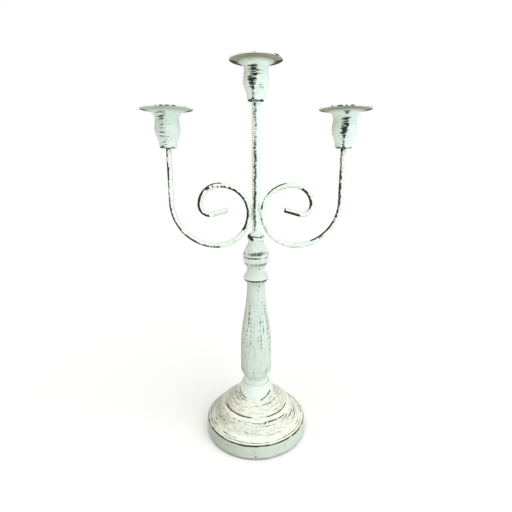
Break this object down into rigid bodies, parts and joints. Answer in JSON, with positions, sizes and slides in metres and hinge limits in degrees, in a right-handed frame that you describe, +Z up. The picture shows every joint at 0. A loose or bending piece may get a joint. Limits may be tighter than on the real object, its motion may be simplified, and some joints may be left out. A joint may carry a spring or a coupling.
{
  "type": "candlestick",
  "caption": "Turned wooden base and column with a steel stem, scrolled side arms and flared candle cups, in distressed pale paint.",
  "frame": {"origin": "centre of the underside, on the surface that the candlestick stands on", "axes": "+Z up through the column and stem; +X towards the right-hand candle cup; +Y away from the front"},
  "size_m": [0.2369, 0.12, 0.42],
  "materials": {
    "painted_wood": "satin",
    "painted_steel": "satin",
    "zinc_steel": "satin",
    "insert_brass": "satin",
    "felt": "matte"
  },
  "bodies": {
    "root": {"felt_pad": "felt", "base_turning": "painted_wood", "base_washer": "zinc_steel", "base_bolt": "zinc_steel", "column_insert": "insert_brass", "column_spindle": "painted_wood", "stem_insert": "insert_brass", "stem_stud": "zinc_steel", "stem_tube": "painted_steel", "stem_top_plug": "zinc_steel", "left_scroll_arm": "painted_steel", "right_scroll_arm": "painted_steel", "left_arm_weld": "painted_steel", "right_arm_weld": "painted_steel", "centre_candle_cup": "painted_steel", "left_candle_cup": "painted_steel", "right_candle_cup": "painted_steel", "centre_cup_washer": "zinc_steel", "left_cup_washer": "zinc_steel", "right_cup_washer": "zinc_steel", "centre_cup_nut": "zinc_steel", "left_cup_nut": "zinc_steel", "right_cup_nut": "zinc_steel"}
  },
  "joints": []
}
